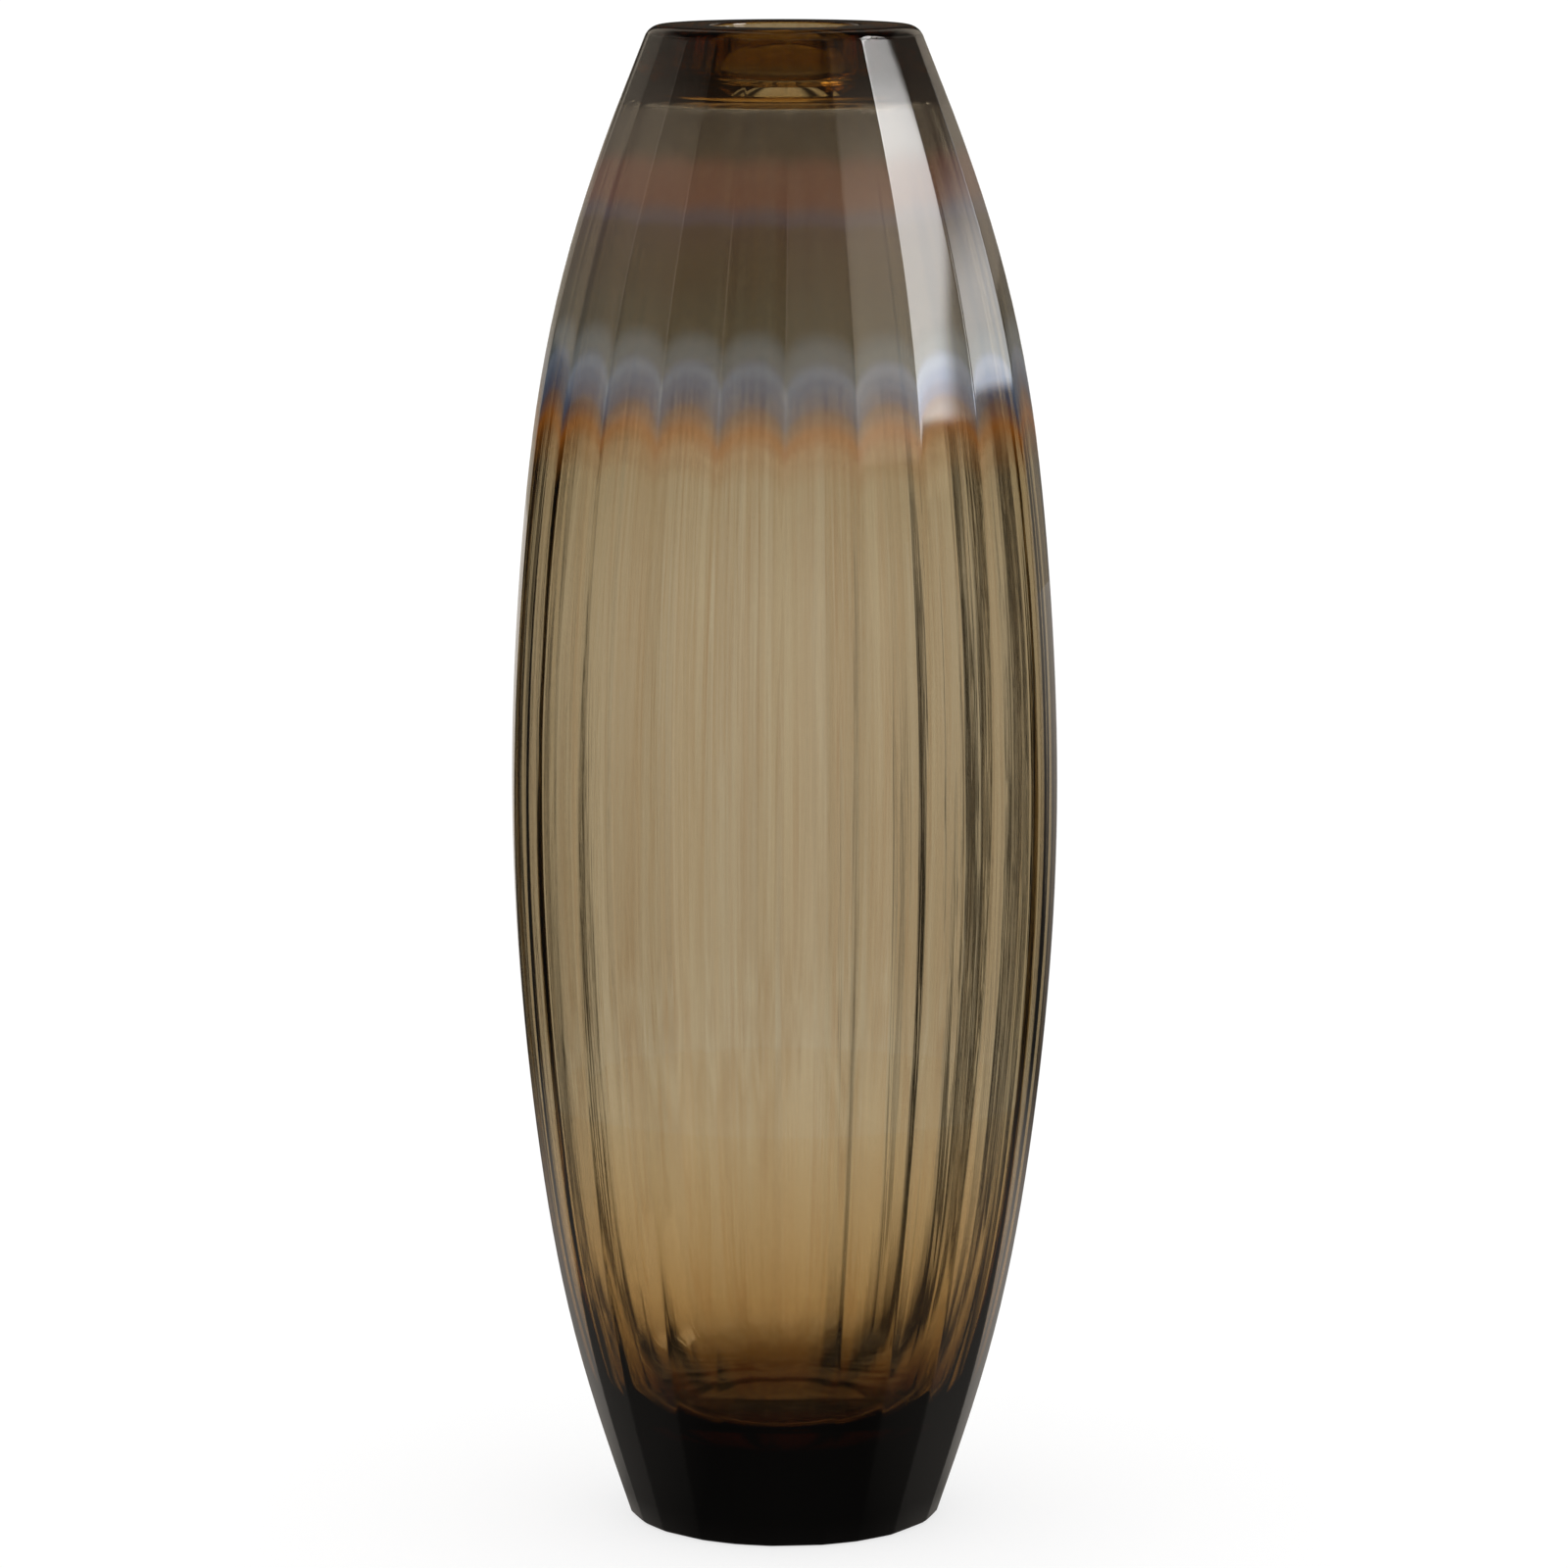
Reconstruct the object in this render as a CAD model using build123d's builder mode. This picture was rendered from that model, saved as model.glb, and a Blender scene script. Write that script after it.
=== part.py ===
"""Hand blown art glass vase: a tall barrel of smoky glass, cut with 22 upright facets.

It is one free-standing object with no moving parts. Its pieces are the masses of glass
that are gathered one over the other while hot, plus the lustre coating on the shoulder.
The first gather, the heel and the lip are amber glass, and the wall over them is smoky.
The origin is the middle of the underside, +Z is up, and sizes are in millimetres.
The front of the vase faces -Y, and facet angles run from there towards +X.
"""

from build123d import *
import math
import os

os.makedirs("parts", exist_ok=True)

# How far a solid that cuts another passes its end
overshoot = 5.0

# The outside
height = 450.0
foot_radius = 46.7
belly_radius = 82.1
belly_height = 218.0
lip_radius = 39.8

# Facets: the width of each in degrees as the wheel left them, from the left of the front
first_edge_angle = -60.7
facet_widths = [15.3, 15.9, 14.6, 15.1, 16.6, 15.4, 17.2, 19.2, 17.4, 16.1, 15.2]
facet_widths += [17.0, 16.8, 15.7, 16.9, 17.6, 15.9, 16.2, 17.1, 16.0, 16.6, 16.2]
upright_at = 340.0  # the height where the edges have the angles that the widths give
lean = 3.8  # how far an edge turns from there down to the foot, in degrees
lean_spread = 1.5
section_count = 16

# Ground and polished edges
foot_bevel = 0.8
lip_rounding = 5.5
polish_clearance = 0.3
bevel_reach = 60.0  # how far the 45 degree cone of the foot's bevel runs out
straight_up_to = 300.0  # where the polishing solid turns in towards the lip
pontil_radius = 25.0
pontil_depth = 2.5

# The hollow, and the first gather that lines it
floor_height = 28.5
floor_radius = 46.0
floor_rounding = 28.0
belly_wall = 7.0
underside_height = 428.0
underside_radius = 44.5
underside_rounding = 8.0
mouth_radius = 22.0
bore_height = 433.0
bore_rounding = 3.0
mouth_rounding = 1.2
lining = 3.0
floor_lining = 4.5  # it runs into the heel, which takes the lowest part of it

# Where one mass of glass meets the next
heel_height = 25.0
heel_mid_height = 27.0
heel_edge_height = 33.0
heel_edge_radius = 62.0
lip_joint_height = 424.0

# Lustre coating over the shoulder
film_thickness = 0.4
film_bottom = 320.0
film_top = 443.0
scallop_height = 11.0
scallop_share = 0.9  # how much of a facet's width each scallop takes


def edge_angles(z):
    """The angle of every facet edge at one height, because each cut leans a little."""
    angles = []
    angle = first_edge_angle
    for index, width in enumerate(facet_widths):
        turn = lean + lean_spread * math.sin(2.1 * index)
        angles.append(angle + turn * (z - upright_at) / upright_at)
        angle += width
    return angles


def around(radius, angle):
    """A point on a circle about the axis, at an angle from the front."""
    turn = math.radians(angle)
    return (radius * math.sin(turn), -radius * math.cos(turn))


def faceted_blank(thicker=0.0):
    """The outside as one solid, lofted through many-sided sections up the outline."""
    with BuildLine() as outline:
        Spline(
            (foot_radius, 0),
            (62.8, 51.5),
            (74.9, 116),
            (belly_radius, belly_height),
            (79.1, 290),
            (71.6, 350),
            (59.0, 399),
            (lip_radius, height),
        )
    with BuildPart() as blank:
        for step in range(section_count + 1):
            place = outline.line @ (step / section_count)
            with BuildSketch(Plane.XY.offset(place.Y)):
                with BuildLine():
                    corners = [around(place.X + thicker, a) for a in edge_angles(place.Y)]
                    Polyline(*corners, close=True)
                make_face()
        loft()
    return blank.part


def hollow(thicker=0.0, deeper=0.0):
    """The turned solid that fills the hollow, or the hollow together with its lining."""
    floor = floor_height - deeper
    bore = mouth_radius + thicker
    rim = height + overshoot
    floor_corner = (floor_radius + thicker, floor)
    underside_corner = (underside_radius + thicker, underside_height)
    bore_corner = (bore, bore_height)
    roundings = {
        floor_corner: floor_rounding,
        underside_corner: underside_rounding,
        bore_corner: bore_rounding,
    }
    with BuildPart() as filling:
        with BuildSketch(Plane.XZ):
            with BuildLine():
                Spline(
                    floor_corner,
                    (59.0 + thicker, 64),
                    (69.0 + thicker, 120),
                    (belly_radius - belly_wall + thicker, belly_height),
                    (71.6 + thicker, 295),
                    (61.0 + thicker, 362),
                    underside_corner,
                )
                Polyline(underside_corner, bore_corner, (bore, rim), (0, rim), (0, floor), floor_corner)
            make_face()
            for corner, rounding in roundings.items():
                fillet(vertices().sort_by_distance(corner)[0], rounding)
        revolve(axis=Axis.Z)
    return filling.part


def polished_envelope():
    """A turned solid that rounds the lip and bevels the foot of anything cut to it."""
    lip_edge = lip_radius + polish_clearance
    bevel_edge = foot_radius - foot_bevel
    side = bevel_edge + bevel_reach
    with BuildPart() as envelope:
        with BuildSketch(Plane.XZ):
            with BuildLine():
                Polyline(
                    (0, 0),
                    (bevel_edge, 0),
                    (side, bevel_reach),
                    (side, straight_up_to),
                    (lip_edge, height),
                    (0, height),
                    close=True,
                )
            make_face()
            fillet(vertices().sort_by_distance((lip_edge, height))[0], lip_rounding)
        revolve(axis=Axis.Z)
    return envelope.part


def heel_zone():
    """Everything below the dished surface where the heel meets the wall and the lining."""
    with BuildPart() as zone:
        with BuildSketch(Plane.XZ):
            with BuildLine():
                dish = ThreePointArc(
                    (0, heel_height),
                    (heel_edge_radius / 2, heel_mid_height),
                    (heel_edge_radius, heel_edge_height),
                )
                Polyline(dish @ 1, (heel_edge_radius, -overshoot), (0, -overshoot), dish @ 0)
            make_face()
        revolve(axis=Axis.Z)
    return zone.part


outside = faceted_blank()
envelope = polished_envelope()
cavity = hollow()
first_bubble = hollow(lining, floor_lining)
below_heel_joint = heel_zone()

# The lip: a thick ring that is ground flat and fire polished round its edge
with BuildPart() as lip_ring:
    add(outside)
    add(envelope, mode=Mode.INTERSECT)
    split(bisect_by=Plane.XY.offset(lip_joint_height), keep=Keep.TOP)
    add(cavity, mode=Mode.SUBTRACT)
    mouth_edge = edges().filter_by(GeomType.CIRCLE).group_by(Axis.Z)[-1].sort_by(SortBy.RADIUS)[0]
    fillet(mouth_edge, mouth_rounding)

# The first gather: the bubble that lines the hollow, as far up as the lip
with BuildPart() as inner_gather:
    add(first_bubble)
    split(bisect_by=Plane.XY.offset(lip_joint_height), keep=Keep.BOTTOM)
    add(below_heel_joint, mode=Mode.SUBTRACT)
    add(cavity, mode=Mode.SUBTRACT)

# The second gather: the wall that the facets are cut in
with BuildPart() as outer_gather:
    add(outside)
    split(bisect_by=Plane.XY.offset(lip_joint_height), keep=Keep.BOTTOM)
    add(below_heel_joint, mode=Mode.SUBTRACT)
    add(first_bubble, mode=Mode.SUBTRACT)

# The heel: solid glass, ground to stand flat, with the pontil mark polished out to a hollow
with BuildPart() as heel_gather:
    add(outside)
    add(envelope, mode=Mode.INTERSECT)
    add(below_heel_joint, mode=Mode.INTERSECT)
    pontil_ball = (pontil_radius**2 + pontil_depth**2) / (2 * pontil_depth)
    with Locations((0, 0, pontil_depth - pontil_ball)):
        Sphere(pontil_ball, mode=Mode.SUBTRACT)

# The lustre: a coating, drawn far thicker than it is, with a scallop in every facet
with BuildPart() as lustre_film:
    add(faceted_blank(film_thickness))
    split(bisect_by=Plane.XY.offset(film_bottom), keep=Keep.TOP)
    split(bisect_by=Plane.XY.offset(film_top), keep=Keep.BOTTOM)
    add(outside, mode=Mode.SUBTRACT)
    hem_angles = edge_angles(film_bottom)
    for angle, width in zip(hem_angles, facet_widths):
        facing = Vector(*around(1, angle + width / 2), 0)
        sideways = facing.cross(Vector(0, 0, 1))
        with BuildSketch(Plane(origin=(0, 0, film_bottom), x_dir=sideways, z_dir=facing)):
            Ellipse(belly_radius * math.radians(width) * scallop_share / 2, scallop_height)
        extrude(amount=belly_radius + overshoot, mode=Mode.SUBTRACT)

pieces = {
    "inner_gather": inner_gather,
    "outer_gather": outer_gather,
    "heel_gather": heel_gather,
    "lip_ring": lip_ring,
    "lustre_film": lustre_film,
}
for name, piece in pieces.items():
    piece.part.label = name
    export_step(piece.part, f"parts/{name}.step")
    print(name, len(piece.part.solids()), "solid", round(piece.part.volume / 1000, 1), "cm3")
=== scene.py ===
# %% [markdown]
# # A blown and cut glass vase
#
# The vase is a tall barrel of smoky brown glass. It is blown round, then a wheel cuts 22
# upright facets in its outside, and a metal lustre is fumed over its shoulder. This lesson
# builds it in the order of the workshop: the turned shape first, then the facets, then the
# ripples that the mould leaves inside, then the lustre and the amber glass, and last the
# materials and the studio.
#
# The model that was made in CAD is loaded first. It stays as it is, and gives the sizes.

# %% Load the frame
import bpy
import math
import numpy as np
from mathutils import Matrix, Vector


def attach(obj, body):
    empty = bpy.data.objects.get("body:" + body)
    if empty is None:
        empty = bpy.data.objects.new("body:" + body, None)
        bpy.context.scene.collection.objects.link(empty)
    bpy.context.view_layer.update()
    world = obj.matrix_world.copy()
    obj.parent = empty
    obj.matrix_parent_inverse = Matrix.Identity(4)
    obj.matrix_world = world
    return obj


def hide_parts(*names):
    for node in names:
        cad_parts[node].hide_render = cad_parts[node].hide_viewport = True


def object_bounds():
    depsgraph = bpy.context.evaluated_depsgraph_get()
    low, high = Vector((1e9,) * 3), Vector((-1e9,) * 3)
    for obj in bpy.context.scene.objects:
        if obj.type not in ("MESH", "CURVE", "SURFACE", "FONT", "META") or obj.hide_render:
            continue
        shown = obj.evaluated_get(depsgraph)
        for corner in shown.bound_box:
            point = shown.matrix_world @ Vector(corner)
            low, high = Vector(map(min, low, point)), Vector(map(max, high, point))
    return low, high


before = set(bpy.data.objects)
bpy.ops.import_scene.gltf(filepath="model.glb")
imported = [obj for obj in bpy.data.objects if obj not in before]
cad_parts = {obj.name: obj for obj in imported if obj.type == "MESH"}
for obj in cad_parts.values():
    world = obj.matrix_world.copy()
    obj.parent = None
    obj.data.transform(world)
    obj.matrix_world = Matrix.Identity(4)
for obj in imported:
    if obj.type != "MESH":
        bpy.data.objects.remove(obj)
cad_low, cad_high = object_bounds()
height = cad_high.z
print("the vase is", round(height * 1000), "mm tall")

# %% [markdown]
# ## The camera
#
# The camera stands about two metres in front with a long lens, a little above the rim, so
# the walls of the vase run nearly straight and the top of the lip is seen almost edge on.

# %% Camera
camera_distance = 2.0385
camera_height = 0.5387
camera_tilt = math.radians(8.8)
bpy.ops.object.camera_add(
    location=(0, -camera_distance, camera_height), rotation=(math.pi / 2 - camera_tilt, 0, 0)
)
camera = bpy.context.object
camera.name = "camera"
camera.data.lens = 157.8
camera.data.sensor_width = 36
camera.data.clip_end = 50
bpy.context.scene.camera = camera
print("the camera looks down by", round(math.degrees(camera_tilt), 1), "degrees")

# %% [markdown]
# ## The outline
#
# A glassblower shapes the outside by turning it against a wet block, so half of its outline
# is all that has to be drawn. The outside and the hollow are each a smooth curve through a
# few points, and a natural cubic spline is the curve that a thin springy strip would take.

# %% A springy curve through a few points
def springy(points):
    """A function that gives the radius at any heights, from a few (radius, height) points."""
    radii, heights = np.array(points).T
    steps = np.diff(heights)
    slopes = np.diff(radii) / steps
    inner = len(points) - 2
    system = np.zeros((inner, inner))
    for row in range(inner):
        system[row, row] = 2 * (steps[row] + steps[row + 1])
        if row:
            system[row, row - 1] = steps[row]
        if row < inner - 1:
            system[row, row + 1] = steps[row + 1]
    bends = np.concatenate([[0], np.linalg.solve(system, 6 * np.diff(slopes)), [0]])

    def radius(z):
        part = np.clip(np.searchsorted(heights, z) - 1, 0, len(steps) - 1)
        before, after, step = z - heights[part], heights[part + 1] - z, steps[part]
        ends = bends[part] * after**3 + bends[part + 1] * before**3
        left = (radii[part] / step - bends[part] * step / 6) * after
        right = (radii[part + 1] / step - bends[part + 1] * step / 6) * before
        return ends / (6 * step) + left + right

    return radius


mm = 0.001
belly_height = 218 * mm
outer_radius = springy([
    (46.7 * mm, 0), (62.8 * mm, 51.5 * mm), (74.9 * mm, 116 * mm), (82.1 * mm, belly_height),
    (79.1 * mm, 290 * mm), (71.6 * mm, 350 * mm), (59.0 * mm, 399 * mm), (39.8 * mm, 450 * mm),
])
hollow_radius = springy([
    (46.0 * mm, 28.5 * mm), (59.0 * mm, 64 * mm), (69.0 * mm, 120 * mm),
    (75.1 * mm, belly_height), (71.6 * mm, 295 * mm), (61.0 * mm, 362 * mm),
    (44.5 * mm, 428 * mm),
])
print("the belly is", round(2 * outer_radius(belly_height) * 1000), "mm across")

# %% [markdown]
# The outline runs from the middle of the underside, out over the shallow hollow that the
# pontil iron leaves, up the outside, over the lip, down the mouth and the hollow, and ends
# in the middle of its floor. Corners that the glassmaker polishes are short arcs.

# %% The half outline, as a list of places
def arc(centre, radius, start, stop, count):
    """Places along an arc, with its angles in degrees from the outward direction."""
    turns = np.radians(np.linspace(start, stop, count))
    return [(centre[0] + radius * math.cos(t), centre[1] + radius * math.sin(t)) for t in turns]


pontil_radius, pontil_depth = 25 * mm, 2.5 * mm
foot_bevel = 0.8 * mm
lip_rounding, lip_slope = 5.5 * mm, 23  # how far the side leans in at the lip, in degrees
mouth_radius, mouth_rounding, mouth_depth = 22 * mm, 1.2 * mm, 15 * mm
bore_rounding, underside_rounding = 4 * mm, 6.5 * mm
floor_height, floor_rounding = 28.5 * mm, 28 * mm
floor_centre = (26.9 * mm, floor_height + floor_rounding)

across_pontil = np.linspace(0, pontil_radius, 7)
underside = [(r, pontil_depth * (1 - (r / pontil_radius) ** 2)) for r in across_pontil]
underside += [(36 * mm, 0), (outer_radius(0) - foot_bevel, 0)]

lip_lean = math.radians(lip_slope)
lip_low = height - lip_rounding * (1 - math.sin(lip_lean))
lip_middle = outer_radius(lip_low) - lip_rounding * math.cos(lip_lean)
lip_centre = (lip_middle, height - lip_rounding)
outside = [(outer_radius(z), z) for z in np.linspace(foot_bevel, 440 * mm, 56)]
outside += [(outer_radius(z), z) for z in np.linspace(442 * mm, lip_low, 4)]
lip = arc(lip_centre, lip_rounding, lip_slope, 90, 9)[1:]
lip += [(30 * mm, height), (mouth_radius + mouth_rounding, height)]

mouth_centre = (mouth_radius + mouth_rounding, height - mouth_rounding)
bore_centre = (mouth_radius + bore_rounding, height - mouth_depth)
mouth = arc(mouth_centre, mouth_rounding, 90, 180, 4)[1:]
mouth += [(mouth_radius, height - 5 * mm), (mouth_radius, height - 10 * mm)]
mouth += arc(bore_centre, bore_rounding, 180, 260, 5)
mouth += arc((38.2 * mm, height - 26.5 * mm), underside_rounding, 82, 12, 6)
inside = [(hollow_radius(z), z) for z in np.linspace(418 * mm, 49 * mm, 43)]
floor = arc(floor_centre, floor_rounding, -20.5, -90, 10)
floor += [(13 * mm, floor_height), (0, floor_height)]
outline = underside + outside + lip + mouth + inside + floor
print("the outline has", len(outline), "places")

# %% [markdown]
# ## Turning the shape
#
# One vertex is pushed along the outline by extruding, and the line that it leaves is spun
# once round the axis. Blender's spin does what the turning pipe does. Places that fall on
# each other are merged after it, and then the faces are made to point outwards.

# %% Helpers for pieces
def only(piece):
    """Selects one piece and nothing else."""
    if bpy.context.object and bpy.context.object.mode == "EDIT":
        bpy.ops.object.mode_set(mode="OBJECT")
    bpy.ops.object.select_all(action="DESELECT")
    piece.select_set(True)
    bpy.context.view_layer.objects.active = piece


def edit(piece):
    """Opens one piece in edit mode with all of it selected."""
    only(piece)
    bpy.ops.object.mode_set(mode="EDIT")
    bpy.ops.mesh.select_all(action="SELECT")


def turn_shape(name, places, columns):
    """A closed piece, spun from a half outline that closes or has both ends on the axis."""
    bpy.ops.object.select_all(action="DESELECT")
    bpy.ops.mesh.primitive_plane_add(size=mm)
    piece = bpy.context.object
    piece.name = name
    edit(piece)
    bpy.ops.mesh.merge(type="CENTER")
    bpy.ops.transform.translate(value=(places[0][0], 0, places[0][1]))
    for before, after in zip(places, places[1:]):
        step = (after[0] - before[0], 0, after[1] - before[1])
        bpy.ops.mesh.extrude_region_move(TRANSFORM_OT_translate={"value": step})
    bpy.ops.mesh.select_all(action="SELECT")
    bpy.ops.mesh.spin(steps=columns, angle=2 * math.pi, center=(0, 0, 0), axis=(0, 0, 1))
    bpy.ops.mesh.select_all(action="SELECT")
    bpy.ops.mesh.remove_doubles(threshold=mm / 1000)
    bpy.ops.mesh.normals_make_consistent(inside=False)
    bpy.ops.object.mode_set(mode="OBJECT")
    print(name, "has", len(piece.data.vertices), "vertices")
    return piece


print("the helpers for pieces are ready")

# %% [markdown]
# The vase is spun with a column of vertices for every place where a facet needs one. Every
# facet gets the same number, so the count of spin steps is that number times 22.

# %% Draw the outline and spin it
facet_count = 22
columns_in_facet = 26
columns = facet_count * columns_in_facet
glass = turn_shape("glass_body", outline, columns)

# %% [markdown]
# ## Where the facets are
#
# The cutter holds the round vase against a wheel, and each pass takes the glass down to one
# flat. By eye alone the 22 flats come out a little uneven and lean slightly, so each has its
# own width and lean here. A flat off the wheel is very slightly crowned.

# %% The facets, from the left of the front
first_edge = -60.7
facet_widths = [15.3, 15.9, 14.6, 15.1, 16.6, 15.4, 17.2, 19.2, 17.4, 16.1, 15.2]
facet_widths += [17.0, 16.8, 15.7, 16.9, 17.6, 15.9, 16.2, 17.1, 16.0, 16.6, 16.2]
upright_at = 340 * mm
lean, lean_spread = 3.8, 1.5
crown = 0.12 * mm
edge_share = 0.012  # how near the last column of a facet is to its edge


def edge_angle(facet, z):
    """The angle in degrees of a facet's left edge at a height, from the front towards +X."""
    whole, turn = facet % facet_count, 360 * (facet // facet_count)
    start = first_edge + turn + np.concatenate([[0], np.cumsum(facet_widths)])[whole]
    return start + (lean + lean_spread * np.sin(2.1 * whole)) * (z - upright_at) / upright_at


def flat_of(facet, share, z):
    """The place on a facet's flat, by its share of the width, as x and y at a height."""
    left, right = np.radians(edge_angle(facet, z)), np.radians(edge_angle(facet + 1, z))
    radius, middle = outer_radius(z), (left + right) / 2
    bulge = crown * 4 * share * (1 - share)
    x = radius * ((1 - share) * np.sin(left) + share * np.sin(right)) + bulge * np.sin(middle)
    y = -radius * ((1 - share) * np.cos(left) + share * np.cos(right)) - bulge * np.cos(middle)
    return x, y


print("the facets take up", round(sum(facet_widths), 1), "degrees")

# %% [markdown]
# ## Cutting the facets
#
# The columns are first slid round so that every edge between two facets lies between two
# columns. Then each vertex outside its flat is moved in to it, so the facets run out in the
# rounded lip by themselves. The foot keeps its small bevel all round.

# %% Slide the columns and cut
places = np.empty(len(glass.data.vertices) * 3)
glass.data.vertices.foreach_get("co", places)
places = places.reshape(-1, 3)
turned = np.hypot(places[:, 0], places[:, 1])
z = places[:, 2]
spun = np.arctan2(places[:, 0], -places[:, 1]) % (2 * math.pi)
column = np.round(spun / (2 * math.pi) * columns).astype(int) % columns
facet = column // columns_in_facet
share = edge_share + (column % columns_in_facet) / (columns_in_facet - 1) * (1 - 2 * edge_share)
flat_x, flat_y = flat_of(facet, share, z)
flat = np.hypot(flat_x, flat_y)
radius = np.minimum(turned, flat)
foot_ring = (z < mm / 10) & (turned > outer_radius(0) - 1.5 * foot_bevel)
radius = np.where(foot_ring, flat - foot_bevel, radius)
print("the wheel takes off up to", round(1000 * float((turned - radius).max()), 2), "mm")

# %% [markdown]
# ## Ripples in the hollow
#
# The bubble is blown in a ribbed mould and then in the open, which leaves shallow upright
# ripples on the inner wall. They wander a little as they climb, and they are what breaks the
# view through the vase into fine streaks. They are real geometry, each a few hundredths of a
# millimetre deep, and they fade out at the floor and under the lip.

# %% Add the ripples
ripples = [  # waves round the vase, and the depth in millimetres
    (22, 0.05), (31, 0.06), (44, 0.06), (57, 0.06), (73, 0.05), (91, 0.04), (118, 0.03),
]
random = np.random.default_rng(7)
turn = np.arctan2(flat_x, -flat_y)
in_hollow = (turned < outer_radius(z) - 4 * mm) & (z > 28 * mm)
ripple = np.zeros(len(z))
for waves, depth in ripples:
    start, wander_start = random.uniform(0, 2 * math.pi, 2)
    wander = 0.5 * np.sin(2 * math.pi * z / random.uniform(0.25, 0.5) + wander_start)
    swell = 0.6 + 0.4 * np.sin(3 * turn + random.uniform(0, 2 * math.pi) + 4 * z / height)
    ripple += depth * mm * swell * np.cos(waves * turn + start + wander)
rises = np.clip((z - 40 * mm) / (120 * mm), 0, 1)
falls = np.clip((424 * mm - z) / (25 * mm), 0, 1)
fade = rises * falls
radius = radius + ripple * fade * in_hollow
print("the ripples are up to", round(1000 * float(np.abs(ripple).max()), 2), "mm deep")

# %% [markdown]
# ## Putting the cut into the mesh
#
# All the moves are written to the mesh at once. Where two facets meet, the two columns beside
# the edge are very close, and smooth shading between them makes the narrow polished line that
# a real edge has. The facets meet at about 16 degrees, and only sharper corners are split.

# %% Write the new places
corner_angle = 35
centre = turned < mm / 1000
places[:, 0] = np.where(centre, 0, radius * np.sin(turn))
places[:, 1] = np.where(centre, 0, -radius * np.cos(turn))
glass.data.vertices.foreach_set("co", places.ravel())
glass.data.update()
only(glass)
bpy.ops.object.shade_smooth_by_angle(angle=math.radians(corner_angle))
print("cut and rippled:", len(glass.data.polygons), "faces")

# %% [markdown]
# ## Measuring for the lustre
#
# The lustre is a metal vapour that settles on the hot shoulder. On each facet it reached a
# bit higher in the middle than at the edges, which leaves a row of arches round the vase.
# Every vertex keeps its height above that arched edge, and the finish is painted by it. The
# fade of the ripples is kept as well, for the streaks in the glass.

# %% Measure the height above the arched edge
hem_height, arch_height = 333 * mm, 9.3 * mm
arch = np.sqrt(np.clip(1 - (2 * share - 1) ** 2, 0, 1))
arch_fade = np.interp(z, np.array([328, 344, 358, 388]) * mm, [0.6, 1, 1, 0.15])
facet_rise = random.uniform(-1.5, 1.5, facet_count) * mm
above_hem = z - hem_height - arch_height * arch * arch_fade - facet_rise[facet] * arch_fade
for name, values in (("above_hem", above_hem), ("rippled", fade * in_hollow)):
    measure = glass.data.attributes.new(name, "FLOAT", "POINT")
    measure.data.foreach_set("value", values.astype(np.float32))
print("the arched edges are", round(1000 * float(facet_rise.max() - facet_rise.min()), 1),
      "mm apart in height")

# %% [markdown]
# ## The lustre's skin
#
# The coat is far thinner than paint and follows the facets exactly. So its skin is a copy of
# the outside faces of the shoulder, lifted a hair off the glass and given a little thickness.

# %% Copy the shoulder and thicken it
film_low, film_high = 312 * mm, 447.8 * mm
film_gap, film_thickness = 0.04 * mm, 0.1 * mm

only(glass)
bpy.ops.object.duplicate()
film = bpy.context.object
film.name = "lustre_coat"
near_outside = turned > outer_radius(np.minimum(z, height)) - 3.5 * mm
on_shoulder = near_outside & (z > film_low) & (z < film_high)
dropped = [not all(on_shoulder[v] for v in face.vertices) for face in film.data.polygons]
edit(film)
bpy.ops.mesh.select_all(action="DESELECT")
bpy.ops.object.mode_set(mode="OBJECT")
film.data.polygons.foreach_set("select", dropped)
bpy.ops.object.mode_set(mode="EDIT")
bpy.ops.mesh.delete(type="FACE")
bpy.ops.mesh.select_all(action="SELECT")
bpy.ops.transform.shrink_fatten(value=film_gap)
bpy.ops.object.mode_set(mode="OBJECT")
thickness = film.modifiers.new("thickness", "SOLIDIFY")
thickness.thickness = film_thickness
thickness.offset = 1
bpy.ops.object.modifier_apply(modifier=thickness.name)
print("the coat has", len(film.data.polygons), "faces")

# %% [markdown]
# ## The amber inside
#
# The first gather is amber glass, and the smoky glass is gathered over it. Blown out, the
# amber stays thick in the heel and thins up the wall, so the colour deepens towards the foot.
# A second amber ring is in the lip. Both lie inside the smoky glass and are fused to it, so
# they have no surface that light would notice: only their colour shows.

# %% Turn the amber heel and the amber lip
amber_base = 3.3 * mm
wall_gap = 0.8 * mm  # the smoky glass that is left between the amber and a surface
amber_columns = 88
solid_up = [12, 24, 36, 46]  # heights where the amber fills the foot, in millimetres
lining = [  # above that it is a lining: heights and thicknesses, in millimetres
    (56, 6.6), (66, 6.0), (78, 4.8), (92, 3.6), (108, 2.6), (130, 1.4),
]


def under_outside(z):
    """The radius that stays just inside the facets at a height."""
    return 0.985 * outer_radius(z) - wall_gap


cup = [(0, amber_base), (44.0 * mm, amber_base)]
cup += [(under_outside(h * mm), h * mm) for h in solid_up]
cup += [(min(under_outside(h * mm), hollow_radius(h * mm) + t * mm), h * mm) for h, t in lining]
cup += [(hollow_radius(h * mm) + wall_gap, h * mm) for h in (130, 108, 92, 78, 66, 56, 50)]
cup += arc(floor_centre, floor_rounding + wall_gap, -20.5, -90, 10)
cup += [(0, floor_height - wall_gap)]
amber_heel = turn_shape("amber_heel", cup, amber_columns)

lip_ring = [
    (23.4, 438), (34, 436.6), (42.4, 436.4), (41.6, 440), (39, 444.6), (35.5, 447), (24, 447),
    (23.4, 438),
]
amber_lip = turn_shape("amber_lip", [(r * mm, h * mm) for r, h in lip_ring], amber_columns)

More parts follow.
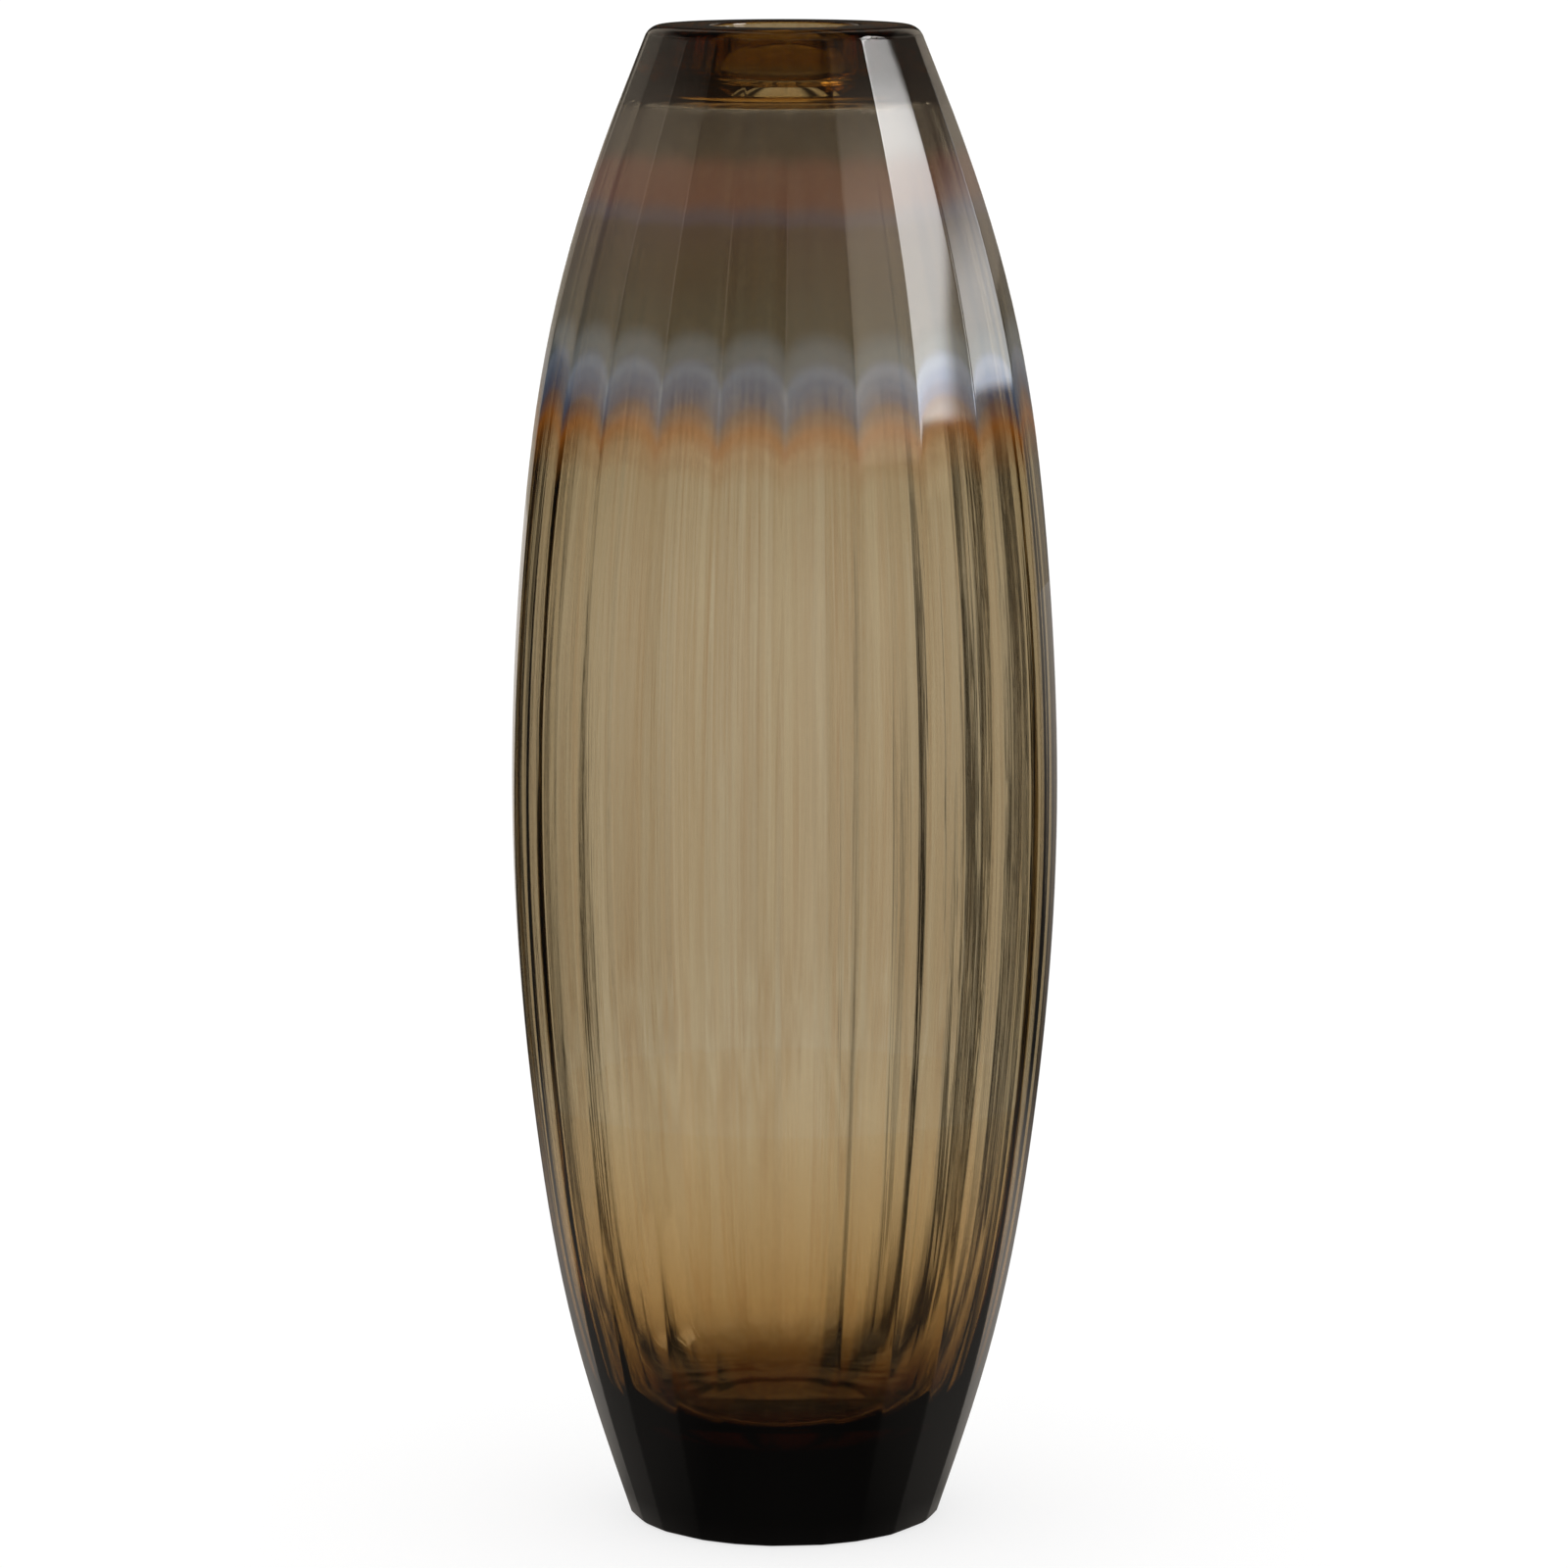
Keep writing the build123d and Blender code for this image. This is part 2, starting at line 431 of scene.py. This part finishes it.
# %% [markdown]
# ## Helpers for nodes
#
# A material here is a small network of nodes. These helpers make one node each and return its
# output, so a pattern reads like a sum: the picture of the network is the nesting of the calls.

# %% Helpers for nodes
def material(name):
    """A new node material with nothing in it but its output."""
    made = bpy.data.materials.new(name)
    made.use_nodes = True
    made.node_tree.nodes.clear()
    output = made.node_tree.nodes.new("ShaderNodeOutputMaterial")
    return made, made.node_tree.nodes, made.node_tree.links, output


def feed(links, sockets, values):
    """Gives each socket its value, or a link if the value is another node's output."""
    for socket, value in zip(sockets, values):
        if isinstance(value, bpy.types.NodeSocket):
            links.new(value, socket)
        else:
            socket.default_value = value


def maths(nodes, links, operation, *values):
    """A math node on sockets or numbers."""
    node = nodes.new("ShaderNodeMath")
    node.operation = operation
    feed(links, node.inputs, values)
    return node.outputs["Value"]


def vector_maths(nodes, links, operation, *values):
    """A vector math node on sockets or fixed vectors."""
    node = nodes.new("ShaderNodeVectorMath")
    node.operation = operation
    feed(links, node.inputs, values)
    return node.outputs["Value" if operation == "LENGTH" else "Vector"]


def ramp(nodes, links, value, stops, unit=1.0, smooth=False):
    """A colour or a grey that runs through (value, colour) stops, with values in some unit."""
    low, high = stops[0][0], stops[-1][0]
    scale = nodes.new("ShaderNodeMapRange")
    feed(links, scale.inputs, (value, low * unit, high * unit))
    curve = nodes.new("ShaderNodeValToRGB")
    curve.color_ramp.interpolation = "EASE" if smooth else "LINEAR"
    elements = curve.color_ramp.elements
    for index, (at, colour) in enumerate(stops):
        stop = elements[index] if index < 2 else elements.new(1.0)
        stop.position = (at - low) / (high - low)
        stop.color = (*colour, 1) if isinstance(colour, tuple) else (colour, colour, colour, 1)
    links.new(scale.outputs["Result"], curve.inputs["Fac"])
    return curve.outputs["Color"]


print("the helpers for nodes are ready")

# %% [markdown]
# ## The clear materials
#
# The masses of glass are fused hot, and light passes from one to the next without meeting a
# surface. So the smoky glass is one closed skin, and its colour is in its volume: the further
# the light travels, the browner it gets. The amber inside it has an index of 1 against the
# glass round it, so it doesn't bend or reflect the light, and only adds its own colour.

# %% Materials that only absorb
absorption_density = 140


def clear_colour(name, absorption, index):
    """A clear material that absorbs so much per metre of red, green and blue."""
    made, nodes, links, output = material(name)
    skin = nodes.new("ShaderNodeBsdfPrincipled")
    skin.inputs["Base Color"].default_value = (1, 1, 1, 1)
    skin.inputs["Roughness"].default_value = 0.0
    skin.inputs["IOR"].default_value = index
    skin.inputs["Transmission Weight"].default_value = 1.0
    depth = nodes.new("ShaderNodeVolumeAbsorption")
    depth.inputs["Color"].default_value = (*(1 - np.array(absorption) / absorption_density), 1)
    depth.inputs["Density"].default_value = absorption_density
    links.new(skin.outputs["BSDF"], output.inputs["Surface"])
    links.new(depth.outputs["Volume"], output.inputs["Volume"])
    return made


smoky_absorption = (63, 79, 115)
smoky = clear_colour("smoky_glass", smoky_absorption, 1.5)
amber = clear_colour("amber_glass", (32, 68, 135), 1.0)
lip_amber = clear_colour("amber_lip", (1, 34, 115), 1.0)
through_wall = [round(100 * math.exp(-rate * 7 * mm)) for rate in smoky_absorption]
print("7 mm of smoky glass passes", through_wall, "percent of red, green and blue")

# %% [markdown]
# ## Streaks in the smoky glass
#
# Blown glass is never quite even. Threads that melted a little differently are drawn out as the
# bubble grows, and stay as upright bands, some clearer and some browner. Noise gives them, read
# from the direction round the axis and a small share of the height, so that it is drawn out
# upwards. A coarse noise tints the inner wall, and a fine one is a very shallow bump. Both are
# multiplied by the fade of the ripples, so they stop at the floor and under the lip.

# %% Streaks
height_share = 0.22  # how much of the height a streak feels, which sets how long it is
coarse, fine = 5, 42

nodes, links = smoky.node_tree.nodes, smoky.node_tree.links
place = nodes.new("ShaderNodeTexCoord").outputs["Object"]
outwards = vector_maths(nodes, links, "MULTIPLY", place, (1, 1, 0))
around = vector_maths(nodes, links, "NORMALIZE", outwards)
upwards = vector_maths(nodes, links, "MULTIPLY", place, (0, 0, height_share))
drawn_out = vector_maths(nodes, links, "ADD", around, upwards)
rippled = nodes.new("ShaderNodeAttribute")
rippled.attribute_name = "rippled"


def streaks(scale):
    """Noise that is drawn out upwards, on the rippled inner wall only."""
    noise = nodes.new("ShaderNodeTexNoise")
    noise.inputs["Scale"].default_value = scale
    noise.inputs["Detail"].default_value = 2
    noise.inputs["Roughness"].default_value = 0.6
    links.new(drawn_out, noise.inputs["Vector"])
    return maths(nodes, links, "MULTIPLY", noise.outputs["Fac"], rippled.outputs["Fac"])


skin = nodes["Principled BSDF"]
tint = ramp(nodes, links, streaks(coarse), [
    (0.36, (1, 1, 1)), (0.45, (0.88, 0.82, 0.76)), (0.5, (0.99, 0.99, 0.99)),
    (0.56, (0.84, 0.77, 0.70)), (0.63, (1, 1, 1)),
])
links.new(tint, skin.inputs["Base Color"])
bump = nodes.new("ShaderNodeBump")
bump.inputs["Distance"].default_value = 0.06 * mm
links.new(streaks(fine), bump.inputs["Height"])
links.new(bump.outputs["Normal"], skin.inputs["Normal"])
print("a fine streak is about", round(1000 * hollow_radius(belly_height) / fine, 1), "mm wide")

# %% [markdown]
# ## What each piece of glass is
#
# Each piece gets its material and the body it rides on, and the name of its slot is printed.
# The CAD parts are hidden. The vase has no moving part, so its only body is the root.

# %% Place the glass pieces
def finish_piece(piece, made, slot):
    """Gives a piece its material and its body, and prints its slot."""
    piece.data.materials.clear()
    piece.data.materials.append(made)
    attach(piece, "root")
    print(piece.name, "has the slot", slot)


finish_piece(glass, smoky, "smoky_glass")
finish_piece(amber_heel, amber, "amber_glass")
finish_piece(amber_lip, lip_amber, "amber_glass")
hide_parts("outer_gather")
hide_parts("inner_gather", "heel_gather")
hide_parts("lip_ring")

# %% [markdown]
# ## The lustre's colours
#
# A coat this thin takes its colour from its thickness, like oil on water. It is thinnest at
# the arched edge and grows up the shoulder, so the colours run in bands: an orange fringe, a
# hazy blue-grey band with a pale edge, olive, brown, a thin violet, red-brown and grey-olive.
# The blue band looks most like metal. How much the coat hides of the glass is its alpha. Only
# its outer side shows, so its thickness doesn't count twice.

# %% The lustre
lustre, nodes, links, output = material("lustre")
coat = nodes.new("ShaderNodeBsdfPrincipled")
coat.inputs["Roughness"].default_value = 0.05
coat.inputs["IOR"].default_value = 3.0
measured = nodes.new("ShaderNodeAttribute")
measured.attribute_name = "above_hem"
place = nodes.new("ShaderNodeTexCoord")
drift = nodes.new("ShaderNodeTexNoise")
drift.inputs["Scale"].default_value = 18
drift.inputs["Detail"].default_value = 1
links.new(place.outputs["Object"], drift.inputs["Vector"])
centred = maths(nodes, links, "SUBTRACT", drift.outputs["Fac"], 0.5)
level = maths(nodes, links, "MULTIPLY_ADD", centred, 5 * mm, measured.outputs["Fac"])
haze = ramp(nodes, links, level, [
    (-18, (0.30, 0.11, 0.01)), (-4, (0.34, 0.10, 0.006)), (0.5, (0.20, 0.10, 0.07)),
    (4, (0.18, 0.19, 0.27)), (8, (0.24, 0.29, 0.40)), (12, (0.31, 0.36, 0.45)),
    (17, (0.19, 0.21, 0.21)), (28, (0.04, 0.032, 0.016)), (48, (0.036, 0.017, 0.005)),
    (59, (0.04, 0.014, 0.008)), (62.5, (0.06, 0.035, 0.05)), (68, (0.12, 0.032, 0.018)),
    (75, (0.11, 0.028, 0.014)), (82, (0.03, 0.015, 0.005)), (98, (0.022, 0.01, 0.003)),
    (112, (0.02, 0.008, 0.002)),
], mm, smooth=True)
metal = ramp(nodes, links, level, [
    (-18, 0.0), (-1, 0.0), (4, 0.45), (8, 0.5), (12, 0.45), (18, 0.3), (28, 0.0), (112, 0.0),
], mm, smooth=True)
cover = ramp(nodes, links, level, [
    (-18, 0.0), (-9, 0.22), (-3, 0.55), (14, 0.6), (24, 0.62), (74, 0.64), (84, 0.76),
    (91, 0.72), (95, 0.4), (104, 0.22), (112, 0.2),
], mm, smooth=True)
geometry = nodes.new("ShaderNodeNewGeometry")
outer_side = maths(nodes, links, "SUBTRACT", 1.0, geometry.outputs["Backfacing"])
links.new(haze, coat.inputs["Base Color"])
links.new(metal, coat.inputs["Metallic"])
links.new(maths(nodes, links, "MULTIPLY", cover, outer_side), coat.inputs["Alpha"])
links.new(coat.outputs["BSDF"], output.inputs["Surface"])
finish_piece(film, lustre, "lustre")
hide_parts("lustre_film")

# %% [markdown]
# ## The light behind the glass
#
# The vase stands on white paper in front of white paper, in a studio with dim gaps between its
# lights. Glass shows what is behind it bent and mirrored, so the light is given by the kind of
# ray. Rays through the glass see eight tall white panels all round, one every 45 degrees, with
# dim gaps between: the gaps are what draws the dark streaks near the sides. The floor and the
# world both use the panels, so they are a node group that takes an azimuth and gives a light.

# %% Panels all round
panel_turn = 45.0
panels = bpy.data.node_groups.new("light_panels", "ShaderNodeTree")
panels.interface.new_socket("Azimuth", in_out="INPUT", socket_type="NodeSocketFloat")
panels.interface.new_socket("Light", in_out="OUTPUT", socket_type="NodeSocketColor")
nodes, links = panels.nodes, panels.links
asked, given = nodes.new("NodeGroupInput"), nodes.new("NodeGroupOutput")
whole = maths(nodes, links, "ADD", asked.outputs["Azimuth"], 360.0)
within = maths(nodes, links, "MODULO", whole, panel_turn)
light = ramp(nodes, links, within, [
    (0, (1.0, 0.99, 0.96)), (1.6, (0.94, 0.88, 0.83)), (3.4, (0.99, 1.0, 1.0)),
    (5.4, (0.91, 0.85, 0.79)), (7.6, (0.97, 0.98, 1.0)), (16.5, 1.0), (21, 0.5), (24, 0.05),
    (29.5, 0.05), (32.8, 0.38), (37.5, 0.86), (39.5, (0.97, 0.96, 0.93)),
    (41.2, (0.90, 0.83, 0.77)), (43, (0.98, 0.99, 1.0)), (44, (0.94, 0.91, 0.87)),
    (panel_turn, (1.0, 0.99, 0.96)),
])
links.new(light, given.inputs["Light"])


def panel_light(nodes, links, azimuth):
    """The light of the panels in one direction."""
    node = nodes.new("ShaderNodeGroup")
    node.node_tree = panels
    links.new(azimuth, node.inputs["Azimuth"])
    return node.outputs["Light"]


print("there are", round(360 / panel_turn), "light panels")

# %% [markdown]
# ## Helpers for the light
#
# Light is shaped by direction, so one helper turns a vector into a compass angle and another
# makes a soft step, which is the edge of a lamp or of a shadow. The last one picks what a ray
# sees by its kind. Light Path stays out of the group, because it can't be read inside one.

# %% Helpers for the light
def azimuth_of(nodes, links, vector):
    """The direction of a vector in degrees from the front towards +X, and its height part."""
    parts = nodes.new("ShaderNodeSeparateXYZ")
    links.new(vector, parts.inputs["Vector"])
    forward = maths(nodes, links, "MULTIPLY", parts.outputs["Y"], -1.0)
    radians = maths(nodes, links, "ARCTAN2", parts.outputs["X"], forward)
    return maths(nodes, links, "MULTIPLY", radians, 180 / math.pi), parts.outputs["Z"]


def step_up(nodes, links, value, low, high):
    """A mask that turns smoothly from 0 at low to 1 at high."""
    node = nodes.new("ShaderNodeMapRange")
    node.interpolation_type = "SMOOTHSTEP"
    feed(links, node.inputs, (value, low, high))
    return node.outputs["Result"]


def by_ray(nodes, links, seen, through, mirrored):
    """One shader for rays through glass, one for mirror reflections, and one for the rest."""
    rays = nodes.new("ShaderNodeLightPath")
    first = nodes.new("ShaderNodeMixShader")
    feed(links, first.inputs, (rays.outputs["Is Transmission Ray"], seen, through))
    mirror, glossy = rays.outputs["Is Reflection Ray"], rays.outputs["Is Glossy Ray"]
    second = nodes.new("ShaderNodeMixShader")
    shine = maths(nodes, links, "MULTIPLY", mirror, glossy)
    feed(links, second.inputs, (shine, first.outputs["Shader"], mirrored))
    return second.outputs["Shader"]


print("the helpers for the light are ready")

# %% [markdown]
# ## The floor
#
# The paper is partly lit and partly glows, so it stays white and still takes a soft shadow.
# Through the glass it shows the panels as painted light, with a painted shadow that dims it close
# to the foot, where the vase stands in its own shade.

# %% Floor
bpy.ops.object.select_all(action="DESELECT")
bpy.ops.mesh.primitive_circle_add(
    vertices=96, radius=3, fill_type="NGON", location=(0, 0, -0.3 * mm)
)
floor_disc = bpy.context.object
floor_disc.name = "floor"
paper, nodes, links, output = material("white_paper")
where = nodes.new("ShaderNodeTexCoord").outputs["Object"]
azimuth, _ = azimuth_of(nodes, links, where)
distance = vector_maths(nodes, links, "LENGTH", where)

matt = nodes.new("ShaderNodeBsdfDiffuse")
matt.inputs["Color"].default_value = (0.32, 0.32, 0.32, 1)
glow = nodes.new("ShaderNodeEmission")
glow.inputs["Strength"].default_value = 0.70
white_paper = nodes.new("ShaderNodeAddShader")
feed(links, white_paper.inputs, (matt.outputs["BSDF"], glow.outputs["Emission"]))

# Painted light and painted shadow: for rays through the glass the paper glows with the panels,
# dimmer close to the foot.
through = nodes.new("ShaderNodeEmission")
links.new(panel_light(nodes, links, azimuth), through.inputs["Color"])
painted_light_off_foot = maths(nodes, links, "MULTIPLY", step_up(nodes, links, distance, 0.05, 0.25), 0.6)
links.new(maths(nodes, links, "ADD", painted_light_off_foot, 0.4), through.inputs["Strength"])
floor_disc.data.materials.append(paper)
print("the floor is", floor_disc.dimensions.x, "m across")

# %% [markdown]
# ## The floor in a mirror
#
# What the outside of the glass mirrors is a painted reflection: the paper glows dark in it, and
# pales towards the paper behind. Without it the lower half of the vase would be covered by a white
# reflection.

# %% The painted dark reflection
# Painted reflection: mirror rays see the white paper as a dark glow that pales towards the back.
from_front = maths(nodes, links, "ABSOLUTE", azimuth)
painted_dark_reflection = ramp(nodes, links, from_front, [
    (0, 0.06), (35, 0.05), (65, 0.12), (100, 0.16), (150, 0.45), (180, 0.55),
])
painted_dark_reflection = maths(nodes, links, "MULTIPLY", painted_dark_reflection, step_up(nodes, links, distance, 0.7, 0.25))
behind = maths(nodes, links, "MULTIPLY", step_up(nodes, links, from_front, 148, 158), 0.6)
painted_dark_reflection = maths(nodes, links, "MAXIMUM", painted_dark_reflection, behind)
mirrored = nodes.new("ShaderNodeEmission")
mirrored.inputs["Color"].default_value = (1, 0.93, 0.85, 1)
links.new(maths(nodes, links, "MAXIMUM", painted_dark_reflection, 0.03), mirrored.inputs["Strength"])

looks = [shader.outputs[0] for shader in (white_paper, through, mirrored)]
links.new(by_ray(nodes, links, *looks), output.inputs["Surface"])
print("the paper has", len(looks), "looks, one for each kind of ray")

# %% [markdown]
# ## Directions in the studio
#
# The world's light is drawn by compass angle and elevation. Its masks are products and sums of
# soft steps, and these short helpers keep such sums readable.

# %% Directions
world = bpy.data.worlds.new("studio")
bpy.context.scene.world = world
world.use_nodes = True
nodes, links = world.node_tree.nodes, world.node_tree.links
nodes.clear()
output = nodes.new("ShaderNodeOutputWorld")
direction = nodes.new("ShaderNodeTexCoord").outputs["Generated"]
azimuth, rise = azimuth_of(nodes, links, direction)
elevation = maths(nodes, links, "MULTIPLY", maths(nodes, links, "ARCSINE", rise), 180 / math.pi)
from_front = maths(nodes, links, "ABSOLUTE", azimuth)


def times(first, second):
    """The product of two sockets or numbers."""
    return maths(nodes, links, "MULTIPLY", first, second)


def plus(first, second):
    """The sum of two sockets or numbers."""
    return maths(nodes, links, "ADD", first, second)


def between(value, low, high):
    """A mask with two soft ends, each given by where it is nothing and where it is full."""
    return times(step_up(nodes, links, value, *low), step_up(nodes, links, value, *high))


def up_to(low, high):
    """A mask that grows with the elevation in degrees, or falls if low is above high."""
    return step_up(nodes, links, elevation, low, high)


print("the studio's masks can be drawn")

# %% [markdown]
# ## The soft boxes
#
# The bright upright shapes on the right of the vase are reflections of soft boxes. A flat facet
# mirrors one direction, so a box that ends inside a facet's view leaves a crisp edge on it. The
# facets lean in towards the lip, so the boxes lean too, and the main one is brighter high up,
# where the lustre ends and the bare glass reflects less. Nothing shows below the table's edge.

# %% Soft boxes
box_lean = 0.336  # degrees of azimuth for each degree of elevation
leaning = maths(nodes, links, "SUBTRACT", azimuth, times(elevation, box_lean))
right_end = maths(nodes, links, "SUBTRACT", leaning, times(up_to(12, 26), 5.0))
main_box = times(step_up(nodes, links, leaning, 60, 63), step_up(nodes, links, right_end, 82, 80))
main_box = times(main_box, up_to(47, 44))
main_light = plus(plus(2.3, times(up_to(20, 34), 1.5)), times(up_to(28, 34), 6.0))
thin_box = times(between(leaning, (92, 94), (101, 99)), up_to(20, 13))
side_box = times(between(leaning, (109, 112), (137, 132)), up_to(15.5, 8.5))
past_side = maths(nodes, links, "MAXIMUM", maths(nodes, links, "SUBTRACT", from_front, 82.0), 0.0)
table_edge = maths(nodes, links, "SUBTRACT", 7.7, times(past_side, 0.09))
above_edge = maths(nodes, links, "SUBTRACT", elevation, table_edge)
above_table = step_up(nodes, links, above_edge, -0.4, 0.4)
box_light = times(main_box, main_light)
box_light = plus(box_light, times(thin_box, 2.6))
box_light = times(plus(box_light, times(side_box, 1.8)), above_table)
print("the soft boxes lean", round(math.degrees(math.atan(box_lean))), "degrees")

# %% [markdown]
# ## The room
#
# Between the boxes the vase mirrors a dim warm room: a few pale upright strips, a backdrop that
# is seen in the grazing reflections at both sides, and a ceiling that is darker still.

# %% Room
room = ramp(nodes, links, azimuth, [
    (-180, 0.5), (-165, 0.4), (-148, 0.34), (-120, 0.28), (-96, 0.22), (-91, 0.6), (-86, 0.2),
    (-64, 0.12), (-59, 0.55), (-54, 0.08), (-35, 0.05), (-30, 0.5), (-25, 0.04), (-4, 0.05),
    (1, 0.5), (6, 0.12), (28, 0.2), (34, 0.6), (39, 0.45), (56, 0.65), (90, 0.5), (104, 0.12),
    (132, 0.14), (150, 0.5), (165, 0.45), (180, 0.6),
])
backdrop = ramp(nodes, links, from_front, [(148, 0.36), (165, 0.3), (180, 0.5)])
backdrop = times(step_up(nodes, links, from_front, 148, 158), backdrop)
beam = times(step_up(nodes, links, from_front, 165, 170), up_to(-0.5, 0.5))
under_beam = maths(nodes, links, "SUBTRACT", 1.0, times(beam, 0.93))
under_ceiling = maths(nodes, links, "SUBTRACT", 1.0, times(up_to(24, 38), 0.85))
room = times(times(room, under_ceiling), above_table)
room = times(maths(nodes, links, "MAXIMUM", room, backdrop), under_beam)
room = maths(nodes, links, "MAXIMUM", room, 0.03)
print("the room has", len(nodes), "nodes so far")

# %% [markdown]
# ## Putting the world together
#
# The camera and the floor see plain white. Mirror reflections see the soft boxes and the room.
# Rays through the glass see the panels and the soft boxes. The panels are dim just above the
# paper, because the floor of the hollow mirrors that part and it should stay dark. Overhead
# they are brighter, because that is the light which comes down through the amber of the lip.

# %% World
def background(strength, colour=(1, 1, 1, 1)):
    """A background of one strength and colour, which may be sockets."""
    node = nodes.new("ShaderNodeBackground")
    feed(links, node.inputs, (colour, strength))
    return node.outputs["Background"]


def both(first, second):
    """Two backgrounds added together."""
    node = nodes.new("ShaderNodeAddShader")
    feed(links, node.inputs, (first, second))
    return node.outputs["Shader"]


above_paper = times(times(up_to(3, 9), 0.85), up_to(32, 22))
overhead = times(up_to(26, 38), 0.9)
panel_strength = maths(nodes, links, "SUBTRACT", plus(overhead, 1.0), above_paper)
boxes = background(box_light)
behind_glass = both(background(panel_strength, panel_light(nodes, links, azimuth)), boxes)
in_mirror = both(boxes, background(room, (1, 0.88, 0.72, 1)))
links.new(by_ray(nodes, links, background(1.08), behind_glass, in_mirror), output.inputs["Surface"])

scene = bpy.context.scene
scene.view_settings.view_transform = "Standard"
scene.cycles.max_bounces = 32
scene.cycles.transmission_bounces = 32
scene.cycles.glossy_bounces = 16
scene.cycles.transparent_max_bounces = 32
print("light may bounce", scene.cycles.max_bounces, "times")
